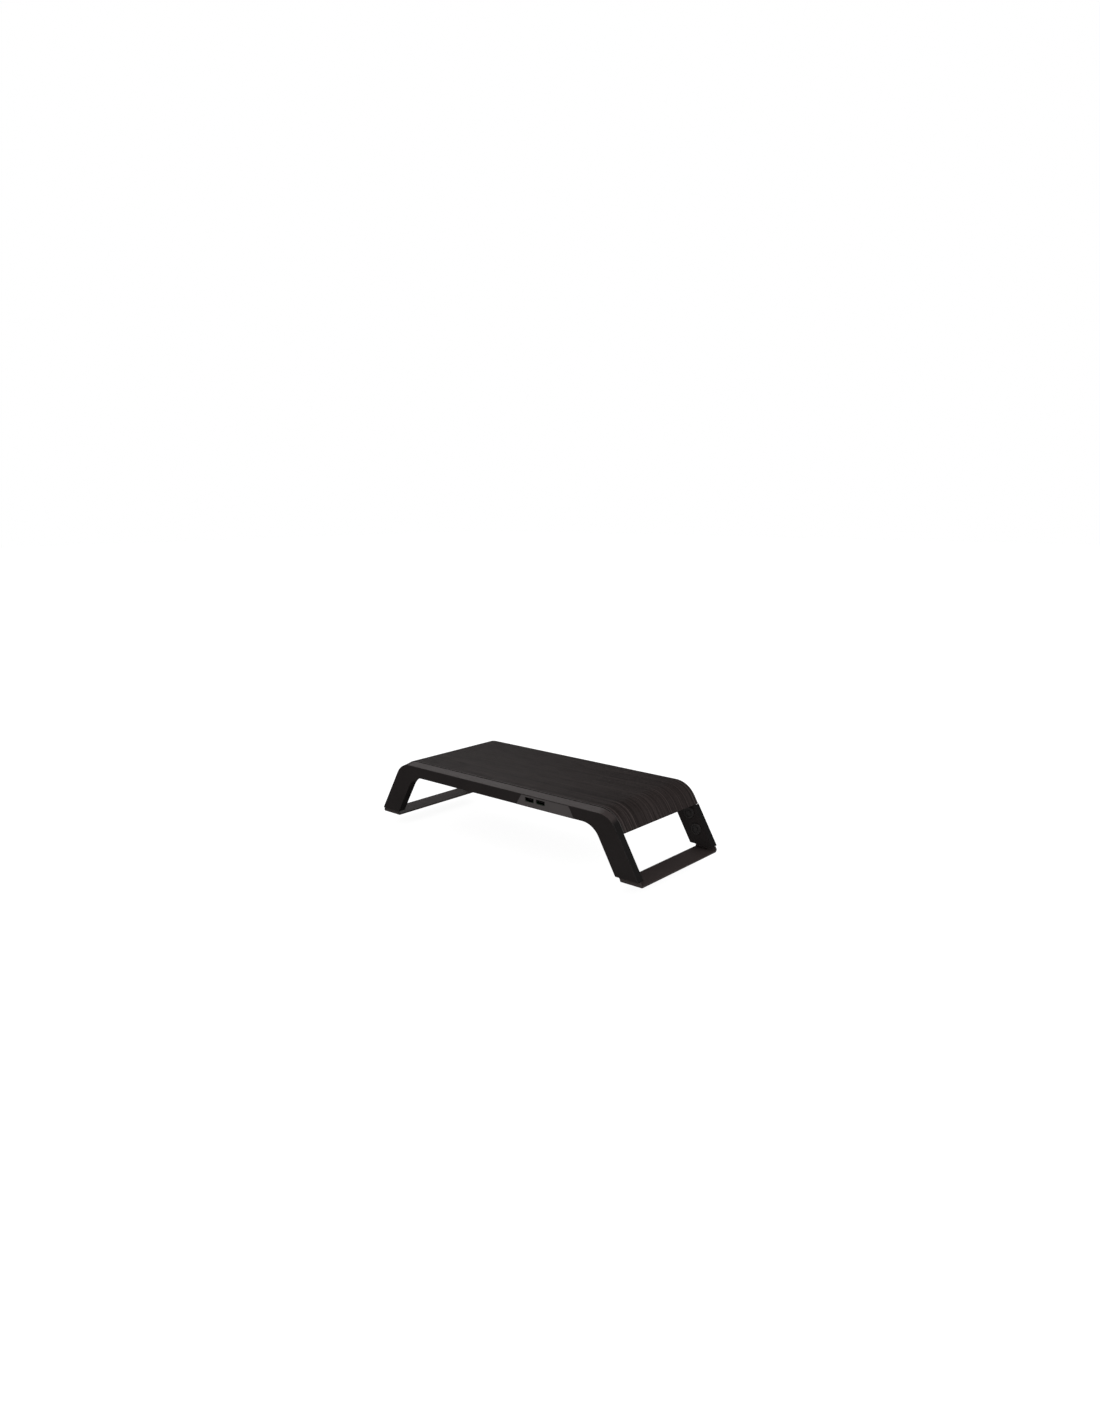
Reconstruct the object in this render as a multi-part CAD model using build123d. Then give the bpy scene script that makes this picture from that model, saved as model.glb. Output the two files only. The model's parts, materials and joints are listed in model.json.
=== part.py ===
from build123d import *
import os
from math import cos, radians, sin, tan

# Monitor riser stand. Millimetres, +Z up, +X to the right, the front faces -Y.
# The origin is on the desk, under the middle of the stand.

# ---- overall sizes
overall_length = 620.0      # across the outer edges of the two foot strips
overall_depth = 232.0       # front face of the front frame to back face of the rear one
overall_height = 115.5      # desk to the top of the board, at the lowest setting

# ---- bridge frames: a rail and two splayed legs each
leg_splay = 30.0            # degrees from upright
frame_thickness = 15.0      # front to back
leg_width = 45.5            # measured level
leg_bottom_z = 10.7
leg_inset = 2.3             # the strip's outer edge stands this far outside the leg's foot
rail_depth = 26.5           # board's top to the underside of the rail
inner_corner_r = 39.0
leg_toe_r = 0.8             # outer corner of the leg's foot
leg_heel_r = 2.5            # inner corner of the leg's foot
bevel_drop = 5.9            # front face's top edge below the board's top
bevel_step = 1.3            # back of the bevel below the board's top
bevel_front_r = 39.0
edge_round = 0.7

# ---- bent board
board_thickness = 6.0
board_corner_r = 45.0
board_tail = 15.4            # straight stretch below each bend
board_front_gap = 0.9       # open joint between the front frame and the board
board_back_step = 1.0       # the board stops this far short of the rear frame's back
board_lip_r = 1.2
board_end_gap = 0.4

# ---- ledges that carry the board
ledge_reach = 14.0
ledge_thickness = 3.0
ledge_tail = 1.5            # straight stretch below each bend

# ---- cross rails
rail_places = (-188.0, 0.0, 188.0)
channel_width = 24.0
channel_height = 12.0
channel_wall = 1.5
channel_gap = 0.5
channel_board_screw_inset = 48.0
tab_screw_spacing = 13.0

# ---- foot brackets: one bent steel strap at each end
strap_thickness = 3.0
strip_width = 41.0
strap_setback = 4.2         # front face of the frame to the strap's arm
strap_bend_r = 2.0          # inside radius
tongue_wall = 0.9           # rear leg left between the tongue's pocket and the board
slide_travel = 20.0
slide_gap = 0.3
slot_land = 5.1
knob_low_s = 31.0           # along the leg, from its foot
knob_high_s = 62.0

# ---- foot pads
pad_thickness = 1.0
pad_length = 50.0
pad_width = 32.0
pad_end_inset = 16.0
pad_corner_r = 4.0

# ---- thumb knobs, their studs and inserts
knob_r = 10.0
knob_thickness = 3.7
knob_seat_depth = 1.5
knob_gap = 0.3
knob_boss_r = 3.6
knob_ring_r = 7.4
knob_ring_depth = 1.2
grip_count = 12
grip_r = 1.1
stud_r = 2.5
stud_run_gap = 0.05
stud_slot_gap = 0.4
stud_wall_gap = 0.5
stud_grip = 2.4             # length held in the knob
stud_tip_gap = 0.3
insert_r = 3.5
insert_length = 2.9

# ---- screws
screw_shank_r = 1.5
screw_head_r = 3.1
screw_head_h = 1.9
screw_clear = 0.2
screw_bite = 4.0            # depth in the board
tab_screw_bite = 7.0        # depth in a frame
ledge_screw_places = (-205.0, -90.0, 30.0, 205.0)
socket_r = 1.2
socket_depth = 1.1

# ---- two-port hub
hub_left = 48.5             # fascia, along its lower edge
hub_right = 177.5
hub_side_lean = 12.0        # the fascia's sides lean in by this much
hub_top_drop = 6.8          # fascia's top edge below the board's top
fascia_thickness = 2.3
fascia_gap = 0.25
fascia_seat_depth = 2.5
port_places = (79.0, 103.9)
port_drop = 13.7            # middle of the ports below the board's top
port_window = (20.0, 7.8)
socket_size = (13.2, 5.8)
socket_length = 14.0
socket_wall = 0.5
socket_recess = 1.5         # socket mouth behind the fascia's face
tongue_size = (10.6, 1.9)
case_side_inset = 12.0       # case inside the fascia's lower corners
case_length = 50.0
case_wall = 1.6
case_floor_rise = 1.5       # case above the rail's underside
case_tray_depth = 7.6
circuit_thickness = 1.6
circuit_gap = 0.8
circuit_nose = 5.0          # board edge beyond the sockets
inlet_place = 132.0
inlet_size = (9.2, 3.4)
inlet_length = 7.0
inlet_wall = 0.4
inlet_tongue = (6.4, 0.8)
ear_length = 9.0
ear_width = 10.0
ear_thickness = 2.0
ear_inset = 2.5
chip_size = (12.0, 12.0, 1.2)
window_sill = 3.5           # rail left under the opening behind the fascia
window_lintel = 10.0        # board's top to the roof of that opening

# ---- worked out from the sizes above
lean = radians(leg_splay)
y_front = -overall_depth / 2
y_back = overall_depth / 2
foot_outer_x = overall_length / 2 - leg_inset
foot_inner_x = foot_outer_x - leg_width
clamp_x = overall_length / 2 - strip_width / 2   # middle of the strip, where the clamps line up
tongue_half = (foot_outer_x - clamp_x) * cos(lean) - board_thickness - tongue_wall - slide_gap
tongue_width = 2 * tongue_half
board_under_z = overall_height - board_thickness
board_y0 = y_front + frame_thickness + board_front_gap
board_y1 = y_back - board_back_step
ledge_z = board_under_z - ledge_thickness
rail_bottom_z = overall_height - rail_depth
hub_top_z = overall_height - hub_top_drop
port_z = overall_height - port_drop
case_floor_z = rail_bottom_z + case_floor_rise
case_split_z = case_floor_z + case_tray_depth
stud_slot_r = stud_r + stud_slot_gap
tongue_end_s = knob_high_s + slide_travel + stud_slot_r + slot_land
SIDES = {"left": -1, "right": 1}


def line_x(foot_x, z):
    """X of a line that leans in with the leg and starts at foot_x beside its foot."""
    return foot_x - (z - leg_bottom_z) * tan(lean)


def rounded_face(corners, y):
    """A flat face at depth y, from corners given as (x, z, radius)."""
    points = [Vector(x, y, z) for x, z, _ in corners]
    radii = [r for _, _, r in corners]
    arcs = []
    for i, point in enumerate(points):
        back = (points[i - 1] - point).normalized()
        ahead = (points[(i + 1) % len(points)] - point).normalized()
        half = radians(back.get_angle(ahead)) / 2
        reach = radii[i] / tan(half)
        middle = (back + ahead).normalized()
        crown = point + middle * (radii[i] / sin(half) - radii[i])
        arcs.append((point + back * reach, crown, point + ahead * reach))
    edges = []
    for i, (start, crown, end) in enumerate(arcs):
        if radii[i] > 0:
            edges.append(Edge.make_three_point_arc(start, crown, end))
        edges.append(Edge.make_line(end, arcs[(i + 1) % len(arcs)][0]))
    return Face(Wire(edges))


def mirrored(corners):
    """Right-hand corners, top to bottom, and the same ones on the left."""
    return corners + [(-x, z, r) for x, z, r in reversed(corners)]


def prism(face, depth):
    """The face carried along +Y by depth."""
    return extrude(face, amount=depth, dir=(0, 1, 0))


def block(x0, x1, y0, y1, z0, z1):
    """A box between two corners."""
    size = (x1 - x0, y1 - y0, z1 - z0)
    return Pos((x0 + x1) / 2, (y0 + y1) / 2, (z0 + z1) / 2) * Box(*size)


def rod(centre, direction, radius, length):
    """A cylinder that starts at centre and runs along direction."""
    plane = Plane(origin=centre, z_dir=direction)
    return extrude(plane * Circle(radius), amount=length)


def flip(solid):
    """The same shape for the back of the stand."""
    return solid.mirror(Plane.XZ)


def leg_plane(side, y):
    """Plane at depth y: its origin is over the strip's middle, its X runs up the leg."""
    origin = (side * clamp_x, y, leg_bottom_z)
    return Plane(origin=origin, x_dir=(-side * sin(lean), 0, cos(lean)), z_dir=(0, 1, 0))


def leg_spot(side, s, y):
    """Point at distance s up the clamps' line."""
    return (side * (clamp_x - s * sin(lean)), y, leg_bottom_z + s * cos(lean))


def leg_slot(side, s0, s1, half_width, y, depth):
    """A round-ended slot along the leg, its end centres at s0 and s1."""
    outline = Pos((s0 + s1) / 2, 0) * SlotCenterToCenter(s1 - s0, 2 * half_width)
    return extrude(leg_plane(side, y) * outline, amount=depth)


# ---- outlines

def frame_outline(top_z, corner_r):
    """Bridge outline with its flat top at top_z."""
    return mirrored([
        (line_x(foot_outer_x, top_z), top_z, corner_r),
        (foot_outer_x, leg_bottom_z, leg_toe_r),
        (foot_inner_x, leg_bottom_z, leg_heel_r),
        (line_x(foot_inner_x, rail_bottom_z), rail_bottom_z, inner_corner_r),
    ])


def board_outline(outer_drop, inner_drop, tail):
    """Band between two depths below the board's surface, cut square a tail past each bend."""
    end_z = overall_height - board_corner_r * (1 - sin(lean)) - tail * cos(lean)
    end_x = line_x(foot_outer_x, end_z)
    drops = []
    for drop in (outer_drop, inner_drop):
        x = end_x - drop * cos(lean)
        z = end_z - drop * sin(lean)
        corner_z = overall_height - drop
        corner_x = x - (corner_z - z) * tan(lean)
        drops.append(((corner_x, corner_z, board_corner_r - drop), (x, z, 0)))
    (outer_corner, outer_end), (inner_corner, inner_end) = drops
    return mirrored([outer_corner, outer_end, inner_end, inner_corner])


def fascia_outline(gap):
    """The hub's trapezoid with its sides and top moved in by gap."""
    return [
        (hub_left + gap, rail_bottom_z, 0),
        (hub_right - gap, rail_bottom_z, 0),
        (hub_right - hub_side_lean - gap, hub_top_z - gap, 0),
        (hub_left + hub_side_lean + gap, hub_top_z - gap, 0),
    ]


# ---- screws

def screw(head_seat, direction, length):
    """Socket-head screw: the head sits behind head_seat, the shank runs along direction."""
    away = -Vector(*direction)
    shank = rod(head_seat, direction, screw_shank_r, length)
    head = rod(head_seat, away, screw_head_r, screw_head_h)
    rim = head.faces().sort_by(Axis(head_seat, away))[-1].edges()
    head = fillet(rim, screw_head_h / 3)
    top = Vector(*head_seat) + away * screw_head_h
    key = rod(top, direction, socket_r, socket_depth)
    return head + shank - key


def tab_screw_spots(y):
    """Centres of the rail tab screws at depth y."""
    z = board_under_z - channel_height / 2
    return [(x + dx, y, z) for x in rail_places for dx in (-tab_screw_spacing / 2, tab_screw_spacing / 2)]


def ledge_screw_spots():
    """Where screws go up through the front ledge into the board."""
    return [(x, y_front + frame_thickness + ledge_reach / 2, ledge_z) for x in ledge_screw_places]


def channel_screw_spots():
    """Where screws go up through the cross rails into the board."""
    z = board_under_z - channel_wall
    y = y_back - frame_thickness - channel_board_screw_inset
    return [(x, side * y, z) for x in rail_places for side in (-1, 1)]


def hub_screw_spots():
    """Where the hub's ears are screwed to the ledge."""
    left, right = case_sides()
    y = y_front + frame_thickness + ear_inset + ear_width / 2
    z = ledge_z - ear_thickness
    return [(left - ear_length / 2, y, z), (right + ear_length / 2, y, z)]


# ---- frames

def clamp_cuts(side):
    """Pocket for the strap's tongue, with the stud holes, insert holes and knob seats."""
    y = y_front
    pocket_y = y + strap_setback - slide_gap
    pocket = strap_thickness + 2 * slide_gap
    pocket_half = tongue_half + slide_gap
    cuts = leg_slot(side, -leg_width, tongue_end_s - tongue_half, pocket_half, pocket_y, pocket)
    inner_y = y + frame_thickness
    for s in (knob_low_s, knob_high_s):
        cuts += rod(leg_spot(side, s, pocket_y), (0, -1, 0), insert_r, insert_length)
        cuts += rod(leg_spot(side, s, pocket_y), (0, 1, 0), stud_r + stud_wall_gap, frame_thickness)
        cuts += rod(leg_spot(side, s, inner_y), (0, -1, 0), knob_r + knob_gap, knob_seat_depth)
    return cuts


def ledge():
    """Shelf behind the front frame that follows the board's underside."""
    low = board_thickness + ledge_thickness
    shelf = prism(rounded_face(board_outline(board_thickness, low, ledge_tail), y_front), ledge_reach)
    shelf = Pos(0, frame_thickness, 0) * shelf
    y0 = y_front + frame_thickness
    for x in rail_places:
        half = channel_width / 2 + channel_gap
        shelf -= block(x - half, x + half, y0, y0 + ledge_reach, ledge_z, overall_height)
    return shelf


def frame_holes():
    """Threaded holes for the cross rails and clearance holes in the ledge."""
    inner_y = y_front + frame_thickness
    bore_depth = tab_screw_bite + screw_clear
    holes = [rod(spot, (0, -1, 0), screw_shank_r, bore_depth) for spot in tab_screw_spots(inner_y)]
    clear_r = screw_shank_r + screw_clear
    holes += [rod(spot, (0, 0, 1), clear_r, ledge_thickness) for spot in ledge_screw_spots()]
    return holes


def plain_frame(body):
    """Legs' clamp pockets, ledge and holes, which both frames have."""
    for side in SIDES.values():
        body -= clamp_cuts(side)
    body += ledge()
    for hole in frame_holes():
        body -= hole
    return body


def front_frame():
    """Front bridge: its top edge slopes up from the front face to the board."""
    face_low = rounded_face(frame_outline(overall_height - bevel_drop, bevel_front_r), y_front)
    back_top = overall_height - bevel_step
    face_high = rounded_face(frame_outline(back_top, board_corner_r), y_front + frame_thickness)
    body = loft([face_low, face_high], ruled=True)
    front_edges = body.faces().sort_by(Axis.Y)[0].edges()
    body = fillet(front_edges, edge_round)
    body = plain_frame(body)
    body -= prism(rounded_face(fascia_outline(0), y_front), fascia_seat_depth)
    left, right = case_sides()
    sill_z = rail_bottom_z + window_sill
    body -= block(left, right, y_front, y_front + frame_thickness, sill_z, overall_height - window_lintel)
    for x, y, z in hub_screw_spots():
        body -= rod((x, y, ledge_z), (0, 0, 1), screw_shank_r, ledge_thickness)
    return body


def rear_frame():
    """Rear bridge: the board lies over its top and its outer corners."""
    body = prism(rounded_face(frame_outline(overall_height, board_corner_r), y_front), frame_thickness)
    front_edges = body.faces().sort_by(Axis.Y)[0].edges()
    body = fillet(front_edges, edge_round)
    seat = rounded_face(board_outline(0, board_thickness, board_tail + board_end_gap), y_front)
    body -= prism(seat, frame_thickness)
    return flip(plain_frame(body))


def top_board():
    """Bent board with a small round along its lips and blind screw holes underneath."""
    band = rounded_face(board_outline(0, board_thickness, board_tail), board_y0)
    board = prism(band, board_y1 - board_y0)
    lips = []
    for end_face in (board.faces().sort_by(Axis.Y)[0], board.faces().sort_by(Axis.Y)[-1]):
        lips += end_face.edges()
    board = fillet(lips, board_lip_r)
    bore = screw_bite + screw_clear
    spots = channel_screw_spots()
    for x, y, z in ledge_screw_spots():
        spots += [(x, y, z), (x, -y, z)]
    for x, y, z in spots:
        board -= rod((x, y, board_under_z), (0, 0, 1), screw_shank_r, bore)
    return board


# ---- cross rails and fasteners

def cross_rail(x):
    """Steel channel, open below, with a closed tab at each end."""
    y0 = y_front + frame_thickness
    y1 = -y0
    half = channel_width / 2
    low = board_under_z - channel_height
    rail = block(x - half, x + half, y0, y1, low, board_under_z)
    inner = half - channel_wall
    roof = board_under_z - channel_wall
    rail -= block(x - inner, x + inner, y0 + channel_wall, y1 - channel_wall, low, roof)
    clear_r = screw_shank_r + screw_clear
    for spot in tab_screw_spots(y0) + tab_screw_spots(y1 - channel_wall):
        rail -= rod(spot, (0, 1, 0), clear_r, channel_wall)
    for spot in channel_screw_spots():
        rail -= rod(spot, (0, 0, 1), clear_r, channel_wall)
    return rail


def rail_screws():
    """Screws through the rails' end tabs into both frames."""
    y = y_front + frame_thickness + channel_wall
    length = channel_wall + tab_screw_bite
    front = [screw(spot, (0, -1, 0), length) for spot in tab_screw_spots(y)]
    return front + [flip(one) for one in front]


def board_screws():
    """Screws up into the board, through the rails and through both ledges."""
    rails = [screw(spot, (0, 0, 1), channel_wall + screw_bite) for spot in channel_screw_spots()]
    front = [screw(spot, (0, 0, 1), ledge_thickness + screw_bite) for spot in ledge_screw_spots()]
    return rails + front + [flip(one) for one in front]


def clamp_inserts():
    """Brass inserts in the front frame's legs that the studs screw into."""
    y = y_front + strap_setback - slide_gap
    rings = []
    for side in SIDES.values():
        for s in (knob_low_s, knob_high_s):
            ring = rod(leg_spot(side, s, y), (0, -1, 0), insert_r, insert_length)
            bore = rod(leg_spot(side, s, y), (0, -1, 0), stud_r + stud_run_gap, insert_length)
            rings.append(ring - bore)
    return rings


# ---- foot brackets

def strap_side(z):
    """Inner and outer X of the strap at height z: the strip below the bend, leaning above it."""
    rise = max(0.0, z - pad_thickness - strap_thickness - strap_bend_r)
    outer = overall_length / 2 - rise * tan(lean)
    return outer - strip_width, outer


def strap_blank(shoulder_z):
    """U-shaped strip with its two bends and short upright ends."""
    y0 = y_front + strap_setback
    z0 = pad_thickness
    bend = strap_bend_r + strap_thickness
    start_x = overall_length / 2 - 2 * strip_width
    plane = Plane(origin=(start_x, 0, 0), x_dir=(0, 1, 0), z_dir=(1, 0, 0))
    outer = Pos(0, z0 + shoulder_z) * Rectangle(-2 * y0, 2 * shoulder_z)
    outer = fillet(outer.vertices().sort_by(Axis.Y)[:2], bend)
    hollow = Pos(0, z0 + strap_thickness + shoulder_z)
    inner = hollow * Rectangle(-2 * y0 - 2 * strap_thickness, 2 * shoulder_z)
    inner = fillet(inner.vertices().sort_by(Axis.Y)[:2], strap_bend_r)
    blank = extrude(plane * (outer - inner), amount=3 * strip_width)
    bend_top = z0 + bend
    low_in, low_out = strap_side(z0)
    high_in, high_out = strap_side(shoulder_z)
    sides = [(low_in, z0, 0), (low_out, z0, 0), (low_out, bend_top, 0), (high_out, shoulder_z, 0),
             (high_in, shoulder_z, 0), (low_in, bend_top, 0)]
    return blank & prism(rounded_face(sides, y_front), overall_depth)


def foot_bracket(side):
    """Bent strap whose two tongues slide in the legs' pockets."""
    shoulder_z = leg_bottom_z - slide_gap
    strap = strap_blank(shoulder_z)
    y = y_front + strap_setback
    tongue = leg_slot(1, -tongue_width, tongue_end_s - tongue_half, tongue_half, y, strap_thickness)
    root_z = shoulder_z - strap_bend_r
    tongue -= block(0, overall_length, y_front, y_back, root_z - overall_height, root_z)
    for s in (knob_low_s, knob_high_s):
        tongue -= leg_slot(1, s, s + slide_travel, stud_slot_r, y, strap_thickness)
    strap = strap + tongue + flip(tongue)
    return strap if side > 0 else strap.mirror(Plane.YZ)


def foot_pad(side, end):
    """Thin rubber pad under one end of a strip."""
    x = side * (overall_length / 2 - strip_width / 2)
    y = end * (y_back - pad_end_inset - pad_length / 2)
    outline = RectangleRounded(pad_width, pad_length, pad_corner_r)
    return Pos(x, y, 0) * extrude(outline, amount=pad_thickness)


# ---- thumb knobs

def knob_base_y():
    """Depth of the knob's underside, just clear of its seat."""
    return y_front + frame_thickness - knob_seat_depth + knob_gap


def thumb_knob(side, s):
    """Low knob with grips round its rim and a ring groove round a centre boss."""
    base = knob_base_y()
    top = base + knob_thickness
    knob = rod(leg_spot(side, s, base), (0, 1, 0), knob_r, knob_thickness)
    knob = fillet(knob.faces().sort_by(Axis.Y)[-1].edges(), edge_round)
    groove = rod(leg_spot(side, s, top), (0, -1, 0), knob_ring_r, knob_ring_depth)
    knob -= groove - rod(leg_spot(side, s, top), (0, -1, 0), knob_boss_r, knob_ring_depth)
    for place in PolarLocations(knob_r + grip_r / 2, grip_count):
        notch = leg_plane(side, base) * Pos(s, 0) * place * Circle(grip_r)
        knob -= extrude(notch, amount=knob_thickness)
    return knob - rod(leg_spot(side, s, base), (0, 1, 0), stud_r, stud_grip)


def knob_stud(side, s):
    """Steel stud from the knob, through the strap's slot, into its insert."""
    tip = y_front + strap_setback - slide_gap - insert_length + stud_tip_gap
    return rod(leg_spot(side, s, tip), (0, 1, 0), stud_r, knob_base_y() + stud_grip - tip)


# ---- hub

def case_sides():
    """Left and right faces of the hub's case."""
    return hub_left + case_side_inset, hub_right - case_side_inset


def circuit_top_z():
    """Top of the circuit board, under the sockets."""
    return port_z - socket_size[1] / 2


def nose_sides():
    """Left and right edges of the circuit board's nose, which carries the sockets."""
    reach = socket_size[0] / 2 + circuit_nose
    return port_places[0] - reach, port_places[-1] + reach


def case_y():
    """Front and back faces of the hub's case."""
    front = y_front + frame_thickness
    return front, front + case_length


def hub_fascia():
    """Trapezoid cover with a window for each socket."""
    plate = prism(rounded_face(fascia_outline(fascia_gap), y_front), fascia_thickness)
    for x in port_places:
        half_w = port_window[0] / 2
        half_h = port_window[1] / 2
        plate -= block(x - half_w, x + half_w, y_front, y_front + fascia_thickness,
                       port_z - half_h, port_z + half_h)
    return plate


def case_shell(z0, z1, open_z0, open_z1):
    """Half of the hub's case, hollow between open_z0 and open_z1, with a gap for the nose."""
    left, right = case_sides()
    front, back = case_y()
    shell = block(left, right, front, back, z0, z1)
    shell -= block(left + case_wall, right - case_wall, front + case_wall, back - case_wall, open_z0, open_z1)
    nose_left, nose_right = nose_sides()
    low = circuit_top_z() - circuit_thickness - circuit_gap
    high = port_z + socket_size[1] / 2 + circuit_gap
    shell -= block(nose_left - circuit_gap, nose_right + circuit_gap, front, front + case_wall, low, high)
    half_w = inlet_size[0] / 2
    inlet_z = circuit_top_z()
    shell -= block(inlet_place - half_w, inlet_place + half_w, back - case_wall, back,
                   inlet_z, inlet_z + inlet_size[1])
    return shell


def hub_tray():
    """Lower half of the case."""
    return case_shell(case_floor_z, case_split_z, case_floor_z + case_wall, case_split_z)


def hub_lid():
    """Upper half of the case, with an ear at each side that hangs it from the ledge."""
    lid = case_shell(case_split_z, ledge_z, case_split_z, ledge_z - case_wall)
    for x, y, z in hub_screw_spots():
        half = ear_length / 2
        lid += block(x - half, x + half, y - ear_width / 2, y + ear_width / 2, z, z + ear_thickness)
        lid -= rod((x, y, z), (0, 0, 1), screw_shank_r + screw_clear, ear_thickness)
    return lid


def hub_circuit():
    """Circuit board: a wide part in the case and a nose through the rail."""
    left, right = case_sides()
    front, back = case_y()
    top = circuit_top_z()
    gap = case_wall + circuit_gap
    wide = block(left + gap, right - gap, front + gap, back - gap, top - circuit_thickness, top)
    nose_left, nose_right = nose_sides()
    nose_y = y_front + fascia_seat_depth + circuit_gap
    return wide + block(nose_left, nose_right, nose_y, front + gap, top - circuit_thickness, top)


def socket_tube(x, mouth_y, size, wall, length, back_y):
    """Open-ended metal shell on the circuit board, closed at back_y."""
    half = size[0] / 2
    low = circuit_top_z()
    high = low + size[1]
    tube = block(x - half, x + half, mouth_y, mouth_y + length, low, high)
    void = block(x - half + wall, x + half - wall, mouth_y, mouth_y + length, low + wall, high - wall)
    plug = block(x - half, x + half, back_y, back_y + wall, low, high)
    return tube - void + plug


def port_shell(x):
    """Metal shell of one front socket."""
    mouth = y_front + socket_recess
    return socket_tube(x, mouth, socket_size, socket_wall, socket_length, mouth + socket_length - socket_wall)


def port_tongue(x):
    """Contact tongue inside one front socket."""
    mouth = y_front + socket_recess
    half_w = tongue_size[0] / 2
    end = mouth + socket_length - socket_wall
    return block(x - half_w, x + half_w, mouth + circuit_gap, end, port_z, port_z + tongue_size[1])


def inlet_shell():
    """Metal shell of the inlet in the hub's back."""
    inner_end = case_y()[1] - inlet_length
    return socket_tube(inlet_place, inner_end, inlet_size, inlet_wall, inlet_length, inner_end)


def inlet_blade():
    """Contact blade inside the inlet."""
    back = case_y()[1]
    half_w = inlet_tongue[0] / 2
    z = circuit_top_z() + inlet_size[1] / 2
    half_h = inlet_tongue[1] / 2
    return block(inlet_place - half_w, inlet_place + half_w, back - inlet_length + inlet_wall,
                 back - circuit_gap, z - half_h, z + half_h)


def hub_chip():
    """Controller chip behind the sockets."""
    x = (port_places[0] + port_places[-1]) / 2
    y = case_y()[0] + case_length / 2
    z = circuit_top_z()
    return block(x - chip_size[0] / 2, x + chip_size[0] / 2, y, y + chip_size[1], z, z + chip_size[2])


def hub_screws():
    """Screws that hold the hub's ears to the ledge."""
    length = ear_thickness + ledge_thickness - screw_clear
    return [screw(spot, (0, 0, 1), length) for spot in hub_screw_spots()]


def save(node, shape):
    """Write one node, a solid or a list of separate solids, to its own file."""
    solids = shape if isinstance(shape, list) else [shape]
    bodies = [solid for item in solids for solid in item.solids()]
    export_step(bodies[0] if len(bodies) == 1 else Compound(children=bodies), f"parts/{node}.step")


def save_knobs(name, side, end):
    """Write the knobs and studs of one leg; the rear leg's are the front one's, turned round."""
    for level, s in (("lower", knob_low_s), ("upper", knob_high_s)):
        for node, solid in (("knob", thumb_knob(side, s)), ("stud", knob_stud(side, s))):
            placed = flip(solid) if end > 0 else solid
            save(f"{name}_{level}_{node}", placed)


os.makedirs("parts", exist_ok=True)
save("front_frame", front_frame())
save("rear_frame", rear_frame())
save("top_board", top_board())
for name, x in zip(("left", "middle", "right"), rail_places):
    save(f"{name}_cross_rail", cross_rail(x))
save("rail_screws", rail_screws())
save("board_screws", board_screws())
save("front_clamp_inserts", clamp_inserts())
save("rear_clamp_inserts", [flip(ring) for ring in clamp_inserts()])
for side_name, side in SIDES.items():
    save(f"{side_name}_foot_bracket", foot_bracket(side))
    for end_name, end in (("front", -1), ("rear", 1)):
        save(f"{side_name}_{end_name}_pad", foot_pad(side, end))
        save_knobs(f"{side_name}_{end_name}", side, end)
save("hub_fascia", hub_fascia())
save("hub_tray", hub_tray())
save("hub_lid", hub_lid())
save("hub_circuit", hub_circuit())
save("hub_chip", hub_chip())
for name, x in zip(("left", "right"), port_places):
    save(f"{name}_port_shell", port_shell(x))
    save(f"{name}_port_tongue", port_tongue(x))
save("inlet_shell", inlet_shell())
save("inlet_blade", inlet_blade())
save("hub_screws", hub_screws())
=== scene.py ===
# %% [markdown]
# # A monitor riser stand
# The stand is a bent woodgrain board on two black plastic bridge frames. Its steel feet slide in the legs
# to set the height, and a small port hub sits in the front rail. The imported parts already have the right
# shapes and places, so this lesson is mostly about finishes: how light shows an open grain, a moulded
# texture or a powder coat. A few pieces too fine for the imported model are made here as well.

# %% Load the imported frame
import json
import bmesh
import bpy
from math import pi, radians
from mathutils import Matrix, Vector


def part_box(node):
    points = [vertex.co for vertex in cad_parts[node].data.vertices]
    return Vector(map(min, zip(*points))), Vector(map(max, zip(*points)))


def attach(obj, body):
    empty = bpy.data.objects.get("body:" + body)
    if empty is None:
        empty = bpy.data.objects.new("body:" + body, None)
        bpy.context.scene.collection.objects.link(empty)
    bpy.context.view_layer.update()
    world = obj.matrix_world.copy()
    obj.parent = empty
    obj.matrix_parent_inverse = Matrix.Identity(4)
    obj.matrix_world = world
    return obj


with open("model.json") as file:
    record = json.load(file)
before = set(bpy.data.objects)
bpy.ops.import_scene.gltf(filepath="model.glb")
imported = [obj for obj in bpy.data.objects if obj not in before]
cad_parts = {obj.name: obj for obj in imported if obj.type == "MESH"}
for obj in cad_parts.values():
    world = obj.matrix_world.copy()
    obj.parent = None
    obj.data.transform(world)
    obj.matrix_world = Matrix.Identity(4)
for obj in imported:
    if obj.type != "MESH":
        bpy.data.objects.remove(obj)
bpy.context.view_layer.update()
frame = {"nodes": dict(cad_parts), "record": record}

# %% [markdown]
# ## Camera
# A product picture is taken from a little above the desk, in front of the stand and to its right. A wide
# lens standing close makes the near foot look larger than the far one. The lens is given for a 36 mm
# sensor along the picture's long side, so the same numbers hold whatever the picture's resolution is.

# %% Place the camera
CAMERA_PLACE = Vector((1.1669, -1.3094, 0.5950))
CAMERA_TURN = radians(41.08)        # to the right of the front
CAMERA_TILT = radians(11.87)        # downwards
CAMERA_ROLL = radians(-0.22)        # a hair off level
LENS_MM = 25.16
SENSOR_MM = 36.0

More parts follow.
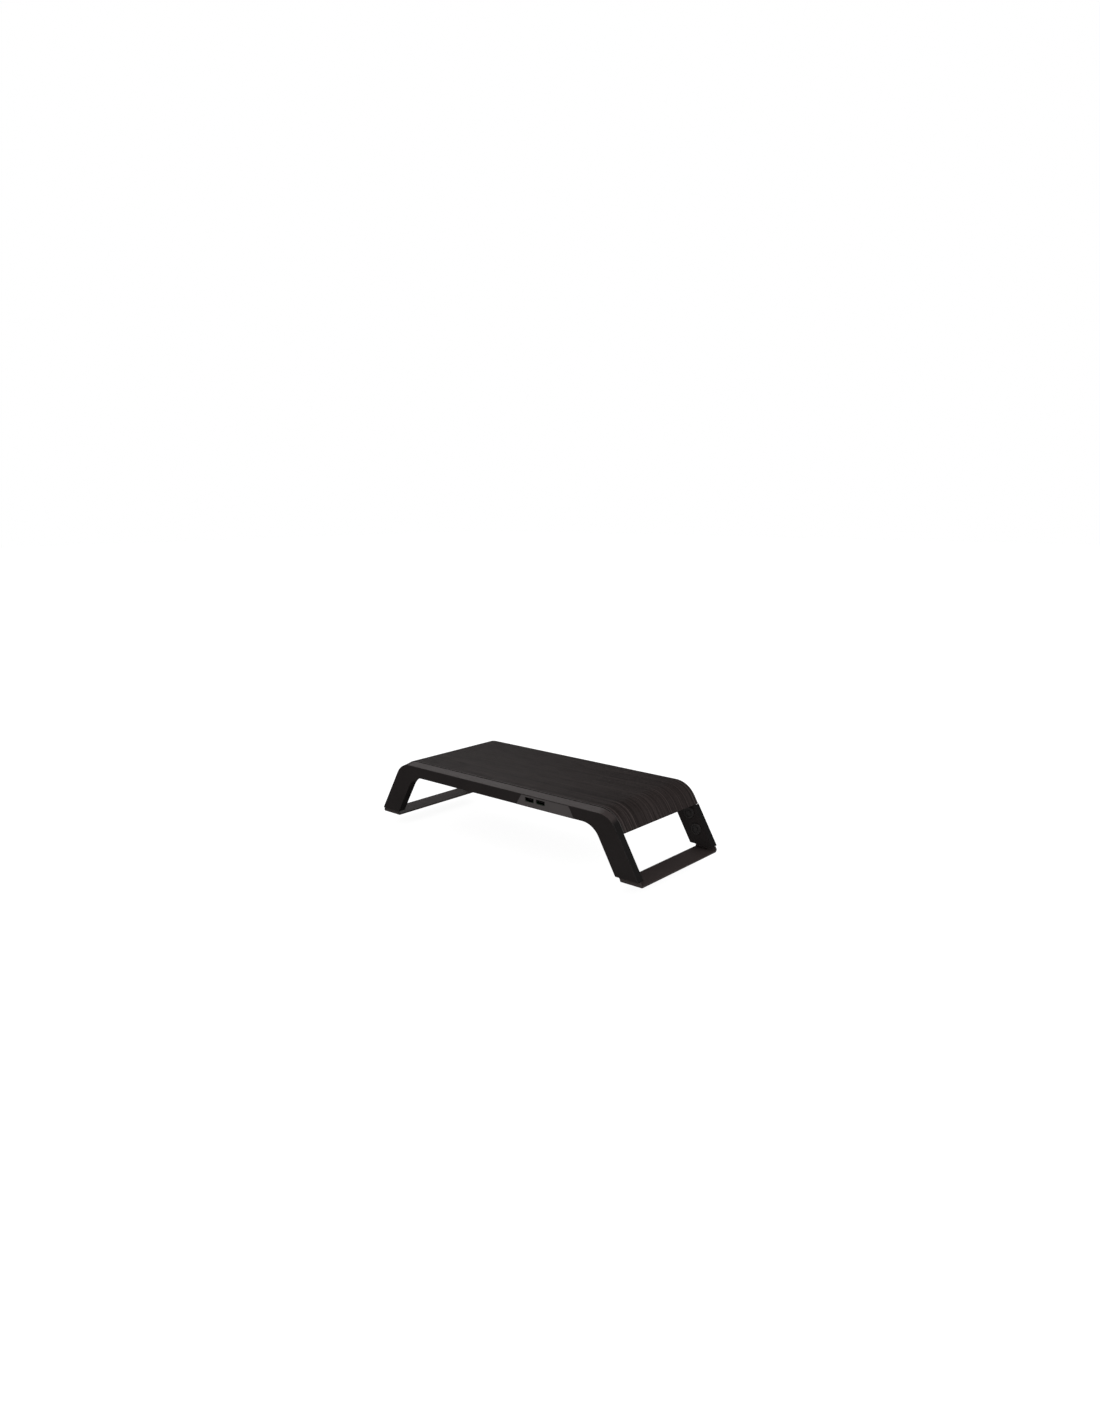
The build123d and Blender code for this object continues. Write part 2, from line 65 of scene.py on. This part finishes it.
camera_data = bpy.data.cameras.new("studio_camera")
camera_data.sensor_fit = "VERTICAL"
camera_data.sensor_height = SENSOR_MM
camera_data.lens = LENS_MM
camera = bpy.data.objects.new("studio_camera", camera_data)
camera.location = CAMERA_PLACE
turned = Matrix.Rotation(CAMERA_TURN, 3, "Z") @ Matrix.Rotation(pi / 2 - CAMERA_TILT, 3, "X")
camera.rotation_euler = (turned @ Matrix.Rotation(CAMERA_ROLL, 3, "Z")).to_euler()
bpy.context.scene.collection.objects.link(camera)
bpy.context.scene.camera = camera
print("camera stands", round((CAMERA_PLACE - Vector((0, 0, 0.06))).length, 3), "m from the stand")

# %% [markdown]
# ## Shader maths
# A finish is a small graph of nodes. Written node by node it is hard to read, so one class wraps a socket
# and lets masks be added and multiplied like numbers, and one method makes every other node: its type,
# its settings first, then the values or links of its sockets.


# %% A socket that can be added and multiplied
class Mask:
    """A value socket. Sums, differences and products of masks make Math nodes."""

    def __init__(self, finish, socket):
        self.finish = finish
        self.socket = socket

    def maths(self, operation, *terms):
        return self.finish.node("ShaderNodeMath", {"operation": operation}, dict(enumerate(terms)))

    def __add__(self, other):
        return self.maths("ADD", self, other)

    __radd__ = __add__

    def __sub__(self, other):
        return self.maths("SUBTRACT", self, other)

    def __rsub__(self, other):
        return self.maths("SUBTRACT", other, self)

    def __mul__(self, other):
        return self.maths("MULTIPLY", self, other)

    __rmul__ = __mul__

    def above(self, low, high):
        """0 below low, 1 above high, with a smooth step between."""
        settings = {"interpolation_type": "SMOOTHSTEP"}
        inputs = {"Value": self, "From Min": low, "From Max": high}
        return self.finish.node("ShaderNodeMapRange", settings, inputs)


# %% A finish: one material and its nodes
class Finish:
    """A Principled material whose other nodes are all made by one method."""

    def __init__(self, name):
        self.material = bpy.data.materials.new(name)
        self.material.use_nodes = True
        self.tree = self.material.node_tree
        self.shader = self.tree.nodes["Principled BSDF"]

    def node(self, kind, settings=None, inputs=None, output=0):
        made = self.tree.nodes.new(kind)
        for key, value in (settings or {}).items():
            if key == "stops":
                self.set_stops(made.color_ramp, value)
            else:
                setattr(made, key, value)
        for key, value in (inputs or {}).items():
            self.feed(made.inputs[key], value)
        return Mask(self, made.outputs[output])

    def set_stops(self, ramp, stops):
        while len(ramp.elements) < len(stops):
            ramp.elements.new(0.5)
        for element, (place, colour) in zip(ramp.elements, stops):
            element.position = place
            element.color = (*colour, 1.0)

    def feed(self, socket, value):
        if isinstance(value, Mask):
            self.tree.links.new(value.socket, socket)
        else:
            socket.default_value = value

    def set(self, **values):
        """Set the shader's own sockets, written with underscores for spaces."""
        for key, value in values.items():
            self.feed(self.shader.inputs[key.replace("_", " ")], value)

    def place(self, scale=(1, 1, 1)):
        """Object coordinates in metres, scaled."""
        coordinates = self.node("ShaderNodeTexCoord", output=3)
        return self.node("ShaderNodeMapping", inputs={"Vector": coordinates, "Scale": scale})

    def axis(self, name):
        """X, Y or Z of a point, in metres."""
        return self.node("ShaderNodeSeparateXYZ", inputs={0: self.place()}, output="XYZ".index(name))

    def facing(self, name):
        """How far the surface faces along X, Y or Z, from -1 to 1."""
        normal = self.node("ShaderNodeNewGeometry", output=1)
        return self.node("ShaderNodeSeparateXYZ", inputs={0: normal}, output="XYZ".index(name))

    def noise(self, vector, scale=1.0, detail=2.0, rough=0.5):
        settings = {"noise_dimensions": "3D"}
        inputs = {"Vector": vector, "Scale": scale, "Detail": detail, "Roughness": rough}
        return self.node("ShaderNodeTexNoise", settings, inputs)

    def mix(self, mask, first, second):
        """First colour where the mask is 0, second where it is 1."""
        inputs = {0: mask, 6: first, 7: second}
        return self.node("ShaderNodeMix", {"data_type": "RGBA"}, inputs, output=2)

    def bump(self, height, depth, under=None):
        """A surface normal from a height mask; depth is in metres."""
        inputs = {"Height": height, "Distance": depth, "Strength": 1.0}
        if under is not None:
            inputs["Normal"] = under
        return self.node("ShaderNodeBump", inputs=inputs)


def grey(level, warmth=0.0):
    """A dark neutral colour, slightly warm, with its alpha."""
    return (level * (1 + warmth), level * (1 - warmth / 3), level * (1 - warmth / 2), 1.0)


finishes = {}
print("shader helpers ready")

# %% [markdown]
# ## Woodgrain board
# The board's face is a near-black open-pore woodgrain foil. It has three scales: slow bands where the
# figure wanders, fine streaks a millimetre or so apart, and short pores pressed into the surface. All
# run along the board and over its bent ends. A noise stretched along X and Z and squeezed along Y gives
# lines that follow the bend without any unwrapping. The lip carries a painted highlight, and the cut edge
# a painted shade for the gap beside the frame.

# %% Woodgrain finish
LIP_HIGHLIGHT_LEVEL = 0.055       # painted highlight: the rounded lip's colour, lighter for the light it catches
GAP_SHADE_LEVEL = 0.004       # painted shade: near-black on the board's edge faces, for the gap beside the frame
GRAIN_DARK = (0.0075, 0.0054, 0.0050, 1.0)
GRAIN_MID = (0.0210, 0.0158, 0.0150, 1.0)
GRAIN_LIGHT = (0.0420, 0.0325, 0.0310, 1.0)


def woodgrain():
    wood = Finish("woodgrain_board")
    wander = wood.noise(wood.place(scale=(1.6, 5.0, 1.6)), detail=1.0)
    y = wood.axis("Y") + wander * 0.022
    bands = wood.node("ShaderNodeTexNoise", {"noise_dimensions": "1D"},
                      {"W": y, "Scale": 360.0, "Detail": 4.0, "Roughness": 0.7})
    streaks = wood.noise(wood.place(scale=(5.0, 520.0, 5.0)), detail=3.0, rough=0.65)
    pores = wood.noise(wood.place(scale=(18.0, 1150.0, 18.0)), detail=1.0)
    pore_mask = pores.above(0.60, 0.72)
    figure = bands * 0.62 + streaks * 0.38
    colour = wood.mix(figure.above(0.40, 0.54), GRAIN_DARK, GRAIN_MID)
    colour = wood.mix(figure.above(0.50, 0.64), colour, GRAIN_LIGHT)
    colour = wood.mix(pore_mask * 0.8, colour, GRAIN_DARK)
    across = wood.facing("Y")
    # painted highlight: faces turned a little towards Y, the rounded lip, get a lighter colour
    lip = (across * across).above(0.05, 0.25)
    # painted shade: faces turned fully towards Y, the board's edge faces in the gap, get near-black and no
    # bump
    side = (across * across).above(0.55, 0.85)
    colour = wood.mix(lip, colour, grey(LIP_HIGHLIGHT_LEVEL, 0.08))
    colour = wood.mix(side, colour, grey(GAP_SHADE_LEVEL, 0.08))
    wood.set(Base_Color=colour, Roughness=0.40 + figure * 0.16 + pore_mask * 0.15)
    height = figure * 0.7 - pore_mask * 0.8
    wood.set(Normal=wood.bump(height * (1 - side), 0.00012))
    wood.set(Specular_IOR_Level=0.16)
    return wood.material


finishes["woodgrain_board"] = woodgrain()
print("woodgrain made")

# %% [markdown]
# ## Moulded plastic
# The frames, knobs and hub covers are moulded black plastic with a fine spark-eroded texture. Two noises
# at fractions of a millimetre make the texture, and a slower one makes the gloss uneven, as handling
# does. On the frames the sloped edge that faces the light is smoother and painted a little lighter as a
# sheen, and the legs' sides are painted darker than their fronts as shade.


# %% Plastic finishes
LEG_SIDE_SHADE_SHARE = 0.35   # painted shade: the share of the fronts' colour that the legs' sides are given


def plastic(name, level, rough, painted_sheen_level=None, warmth=0.10):
    body = Finish(name)
    fine = body.noise(body.place(), scale=1500.0, detail=2.0)
    cloud = body.noise(body.place(), scale=22.0, detail=3.0)
    colour = body.mix(cloud, grey(level * 0.85, warmth), grey(level * 1.15, warmth))
    roughness = rough + cloud * 0.10 + fine * 0.06
    if painted_sheen_level is not None:
        # painted sheen: upward faces such as the frame's bevel get a lighter colour for the light they
        # catch, and are smoother
        upward_sheen = body.facing("Z").above(0.45, 0.85)
        colour = body.mix(upward_sheen, colour, grey(painted_sheen_level, warmth))
        # painted shade: faces turned along X, the legs' sides, get a darker colour than the fronts
        across = body.facing("X")
        leg_side_shade = (across * across).above(0.35, 0.65)
        colour = body.mix(leg_side_shade, colour, grey(level * LEG_SIDE_SHADE_SHARE, warmth))
        roughness = roughness - upward_sheen * 0.10
    body.set(Base_Color=colour, Roughness=roughness, Specular_IOR_Level=0.3)
    body.set(Normal=body.bump(fine, 0.00004))
    return body.material


finishes["frame_plastic"] = plastic("frame_plastic", 0.0110, 0.46, painted_sheen_level=0.026, warmth=0.20)
finishes["fascia_plastic"] = plastic("fascia_plastic", 0.043, 0.42, warmth=0.10)
finishes["case_plastic"] = plastic("case_plastic", 0.012, 0.50)
finishes["knob_plastic"] = plastic("knob_plastic", 0.018, 0.36)
finishes["contact_plastic"] = plastic("contact_plastic", 0.006, 0.35)
print("plastics made")

# %% [markdown]
# ## Powder-coated steel
# The feet and the cross rails are bent steel under black powder coat. Powder flows as it cures, so it
# has a rounded orange-peel surface about a millimetre across, softer and larger than a moulded texture.


# %% Powder coat finish
def powder_coat():
    coat = Finish("painted_steel")
    peel = coat.noise(coat.place(), scale=620.0, detail=1.0)
    cloud = coat.noise(coat.place(), scale=14.0, detail=3.0)
    coat.set(Base_Color=coat.mix(cloud, grey(0.020, 0.20), grey(0.032, 0.20)))
    coat.set(Roughness=0.34 + cloud * 0.10 + peel * 0.08, Specular_IOR_Level=0.30)
    coat.set(Normal=coat.bump(peel, 0.00006))
    return coat.material


finishes["painted_steel"] = powder_coat()
print("powder coat made")


# %% [markdown]
# ## Bare metals, rubber and circuit board
# These show only from underneath or inside the ports, but a turned view or a close one reaches them. Bare
# metal is almost all reflection, so its detail is in roughness: a stretched noise reads as brushing. The
# port shells are given a very dark metal colour.


# %% Bare metal finishes
def bare_metal(name, colour, rough):
    metal = Finish(name)
    brushed = metal.noise(metal.place(scale=(1.0, 1.0, 9.0)), scale=420.0, detail=2.0)
    stain = metal.noise(metal.place(), scale=60.0, detail=3.0)
    darker = tuple(0.72 * c for c in colour)
    metal.set(Base_Color=metal.mix(stain.above(0.3, 0.8), (*colour, 1.0), (*darker, 1.0)))
    metal.set(Metallic=1.0, Roughness=rough + brushed * 0.16 + stain * 0.08)
    metal.set(Normal=metal.bump(brushed, 0.00001))
    return metal.material


finishes["screw_steel"] = bare_metal("screw_steel", (0.42, 0.42, 0.43), 0.26)
finishes["port_steel"] = bare_metal("port_steel", (0.050, 0.049, 0.050), 0.30)
finishes["insert_brass"] = bare_metal("insert_brass", (0.62, 0.44, 0.20), 0.22)
print("bare metals made")


# %% Rubber and circuit board finishes
def rubber():
    pad = Finish("pad_rubber")
    grain = pad.noise(pad.place(), scale=900.0, detail=2.0)
    pad.set(Base_Color=pad.mix(grain, grey(0.010), grey(0.020)), Roughness=0.74 + grain * 0.16)
    pad.set(Normal=pad.bump(grain, 0.00005), Specular_IOR_Level=0.3)
    return pad.material


def circuit_laminate():
    board = Finish("circuit_laminate")
    weave = board.noise(board.place(scale=(1.0, 1.0, 0.2)), scale=700.0, detail=1.0)
    tracks = board.noise(board.place(scale=(1.0, 0.12, 1.0)), scale=330.0, detail=0.0)
    green = board.mix(tracks.above(0.50, 0.54), (0.006, 0.045, 0.016, 1.0), (0.012, 0.085, 0.030, 1.0))
    board.set(Base_Color=green, Roughness=0.28 + weave * 0.12)
    board.set(Normal=board.bump(tracks.above(0.48, 0.56), 0.00003))
    return board.material


finishes["pad_rubber"] = rubber()
finishes["circuit_laminate"] = circuit_laminate()
print("rubber and laminate made")

# %% [markdown]
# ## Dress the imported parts
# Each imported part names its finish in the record. The meshes stay as they are and only the material in
# each slot changes.

# %% Give every part its finish
slot_of = {row["node"]: row["material_slot"] for row in frame["record"]["subparts"]}
for name, part in frame["nodes"].items():
    part.data.materials.clear()
    part.data.materials.append(finishes[slot_of[name]])
print("dressed", len(slot_of), "parts in", len(finishes), "finishes")

# %% [markdown]
# ## Port contacts
# Each port's tongue carries four gold-plated springs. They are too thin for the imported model, so they are
# made here: a strip that is bevelled, then copied across the tongue.

# %% Gold contacts on the tongues
CONTACT_COUNT = 4
CONTACT_PITCH = 0.0024
CONTACT_LENGTH = 0.0062
CONTACT_WIDTH = 0.0011
CONTACT_THICK = 0.00025
CONTACT_START = 0.0010


def new_piece(name, mesh_maker, slot, body):
    """A mesh piece at the origin, dressed in a slot's finish, that rides on a body."""
    work = bmesh.new()
    mesh_maker(work)
    bmesh.ops.recalc_face_normals(work, faces=work.faces)
    mesh = bpy.data.meshes.new(name)
    work.to_mesh(mesh)
    work.free()
    mesh.materials.append(finishes[slot])
    piece = bpy.data.objects.new(name, mesh)
    bpy.context.scene.collection.objects.link(piece)
    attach(piece, body)
    return piece


def add_block(work, low, high, bevel=0.0):
    """A box between two corners, its edges rounded by bevel."""
    size = Vector(high) - Vector(low)
    middle = (Vector(high) + Vector(low)) / 2
    place = Matrix.Translation(middle) @ Matrix.Diagonal((*size, 1.0))
    corners = bmesh.ops.create_cube(work, size=1.0, matrix=place)["verts"]
    if bevel > 0:
        edges = list({edge for corner in corners for edge in corner.link_edges})
        bmesh.ops.bevel(work, geom=edges, offset=bevel, affect="EDGES", segments=2, profile=0.5, material=-1)


def contacts_under(tongue):
    low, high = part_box(tongue)
    middle = (low.x + high.x) / 2

    def make(work):
        for place in range(CONTACT_COUNT):
            x = middle + (place - (CONTACT_COUNT - 1) / 2) * CONTACT_PITCH
            y = low.y + CONTACT_START
            add_block(work, (x - CONTACT_WIDTH / 2, y, low.z - CONTACT_THICK),
                      (x + CONTACT_WIDTH / 2, y + CONTACT_LENGTH, low.z), CONTACT_THICK / 3)
    return make


for side in ("left", "right"):
    maker = contacts_under(f"{side}_port_tongue")
    contacts = new_piece(f"{side}_port_contacts", maker, "insert_brass", "stand")
    print(contacts.name, len(contacts.data.polygons), "faces")

# %% [markdown]
# ## Studio
# A dark object on a white table is a matter of what it mirrors. Even light from all round keeps the table
# white, but mirrored in black plastic it would turn grey, so the sky and the overhead light hardly show
# in reflections. The floor glows, which leaves its shadow faint. Soft lights behind on the left, in front
# and on the right draw the sloped edge and the board's bend. The feet slide down out of the legs, so the
# floor lies where they end and the stand hangs just above it at its lowest setting.

# %% Floor
FLOOR_SIZE = 14.0
FLOOR_COLOUR = (0.16, 0.16, 0.16, 1.0)
FLOOR_LIGHT = (0.18, 0.18, 0.18, 1.0)
FLOOR_GLOW = 0.92
FLOOR_DROP = 0.0175     # the feet come down this far when they are fully out

floor_finish = Finish("studio_floor")
shade = floor_finish.noise(floor_finish.place(), scale=3.0, detail=2.0)
floor_finish.set(Base_Color=floor_finish.mix(shade, FLOOR_COLOUR, FLOOR_LIGHT))
floor_finish.set(Roughness=0.9, Specular_IOR_Level=0.05)
floor_finish.set(Emission_Color=(1.0, 1.0, 1.0, 1.0), Emission_Strength=FLOOR_GLOW)
floor_work = bmesh.new()
bmesh.ops.create_grid(floor_work, x_segments=2, y_segments=2, size=FLOOR_SIZE)
floor_mesh = bpy.data.meshes.new("studio_floor")
floor_work.to_mesh(floor_mesh)
floor_work.free()
floor_mesh.materials.append(floor_finish.material)
floor = bpy.data.objects.new("studio_floor", floor_mesh)
floor.location.z = -FLOOR_DROP
floor.visible_glossy = False
bpy.context.scene.collection.objects.link(floor)
print("floor", FLOOR_SIZE * 2, "m across")

# %% Sky
SKY_PLAIN = 1.0
SKY_MIRRORED = 0.03

world = bpy.data.worlds.new("studio")
world.use_nodes = True
sky_nodes = world.node_tree.nodes
sky = sky_nodes["Background"]
sky.inputs["Color"].default_value = (1.0, 1.0, 1.0, 1.0)
ray = sky_nodes.new("ShaderNodeLightPath")
strength = sky_nodes.new("ShaderNodeMapRange")
strength.inputs["To Min"].default_value = SKY_PLAIN
strength.inputs["To Max"].default_value = SKY_MIRRORED
world.node_tree.links.new(ray.outputs["Is Glossy Ray"], strength.inputs["Value"])
world.node_tree.links.new(strength.outputs["Result"], sky.inputs["Strength"])
bpy.context.scene.world = world
print("sky", SKY_PLAIN, "plain,", SKY_MIRRORED, "mirrored")


# %% Lights
LIGHTS_AIM = Vector((0, 0, 0.05))


def soft_light(name, place, size, power, mirrored=True):
    data = bpy.data.lights.new(name, "AREA")
    data.shape = "RECTANGLE"
    data.size, data.size_y = size
    data.energy = power
    lamp = bpy.data.objects.new(name, data)
    lamp.location = place
    lamp.rotation_euler = (LIGHTS_AIM - Vector(place)).to_track_quat("-Z", "Y").to_euler()
    lamp.visible_glossy = mirrored
    bpy.context.scene.collection.objects.link(lamp)


soft_light("overhead_light", (0.0, 0.2, 2.4), (2.4, 2.0), 10.0, mirrored=False)
soft_light("rim_light", (-2.0, 1.3, 2.0), (1.6, 1.2), 9.0)
soft_light("front_light", (0.9, -2.4, 1.6), (1.2, 1.0), 5.0)
soft_light("side_light", (2.4, 0.2, 1.5), (1.2, 1.0), 20.0)
bpy.context.scene.view_settings.view_transform = "Standard"
